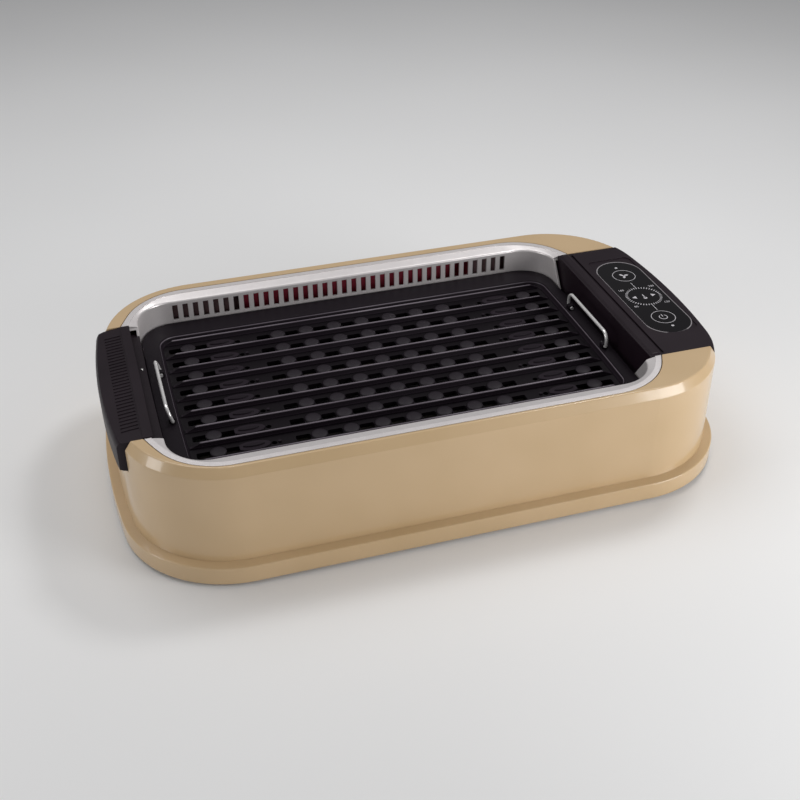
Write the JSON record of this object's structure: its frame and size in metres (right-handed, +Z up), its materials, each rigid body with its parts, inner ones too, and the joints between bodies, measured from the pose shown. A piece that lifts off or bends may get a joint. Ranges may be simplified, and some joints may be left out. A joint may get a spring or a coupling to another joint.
{
  "type": "smokeless indoor grill",
  "caption": "Long electric table grill with a champagne housing, a ribbed lift-out cooking plate over a drip tray, a slotted smoke outlet, a side grip and a touch console",
  "frame": {"origin": "on the surface under the rubber feet, below the middle of the plinth", "axes": "+X runs along the grill to the console end, +Y to the slotted rear wall, +Z up"},
  "size_m": [0.531, 0.317, 0.1065],
  "materials": {
    "champagne": "glossy moulded",
    "silver": "satin silver",
    "black_satin": "satin black moulded",
    "panel_glass": "glossy black touch surface",
    "bezel_grey": "satin grey",
    "circuit_board": "green solder mask",
    "dark_plastic": "matt moulded",
    "dark_plastic_tray": "dark non-stick coating",
    "capacitor_can": "sleeved",
    "bare_aluminium": "extruded",
    "brass_contact": "plain",
    "foot_rubber": "matt",
    "plain_steel": "plain sheet",
    "white_ceramic": "matt fired",
    "red_plastic": "dark red moulded",
    "motor_paint": "satin painted",
    "nonstick": "black non-stick coating on a casting",
    "element_sheath": "oxidised sheath",
    "chrome_wire": "bright plated"
  },
  "bodies": {
    "base": {"outer_shell": "champagne", "base_plinth": "champagne", "rear_surround": "silver", "front_surround": "silver", "left_grip": "black_satin", "console_housing": "black_satin", "touch_panel": "panel_glass", "panel_bezel": "bezel_grey", "touch_board": "circuit_board", "power_board": "circuit_board", "relay": "dark_plastic", "capacitor": "capacitor_can", "heat_sink": "bare_aluminium", "power_inlet": "dark_plastic", "inlet_pins": "brass_contact", "rubber_feet": "foot_rubber", "housing_screws": "plain_steel", "well_tub": "plain_steel", "heat_shield": "plain_steel", "thermal_cutoff": "dark_plastic", "socket_block": "white_ceramic", "smoke_duct": "red_plastic", "rear_baffle": "dark_plastic", "blower_housing": "dark_plastic", "shaft_bearing": "brass_contact", "blower_motor": "motor_paint", "motor_cradle": "dark_plastic"},
    "tray": {"drip_tray": "dark_plastic_tray"},
    "plate": {"grill_plate": "nonstick", "heating_element": "element_sheath", "element_clips": "plain_steel", "plug_block": "white_ceramic", "plug_pins": "brass_contact", "bail_lugs": "nonstick"},
    "bail_left": {"left_bail": "chrome_wire"},
    "bail_right": {"right_bail": "chrome_wire"},
    "fan": {"blower_impeller": "dark_plastic", "impeller_shaft": "plain_steel"}
  },
  "joints": [
    {"name": "tray_lift", "type": "slide", "parent": "base", "child": "tray", "axis": [0, 0, 1], "range_m": [0, 0.09]},
    {"name": "plate_lift", "type": "slide", "parent": "tray", "child": "plate", "axis": [0, 0, 1], "range_m": [0, 0.075]},
    {"name": "left_bail_swing", "type": "hinge", "parent": "plate", "child": "bail_left", "pos_m": [-0.2086, -0.003, 0.084], "axis": [0, 1, 0], "range_deg": [-24, 105]},
    {"name": "right_bail_swing", "type": "hinge", "parent": "plate", "child": "bail_right", "pos_m": [0.1726, -0.003, 0.084], "axis": [0, 1, 0], "range_deg": [-90, 45]},
    {"name": "fan_spin", "type": "hinge", "parent": "base", "child": "fan", "pos_m": [0, 0.124, 0.038], "axis": [1, 0, 0], "continuous": true}
  ]
}
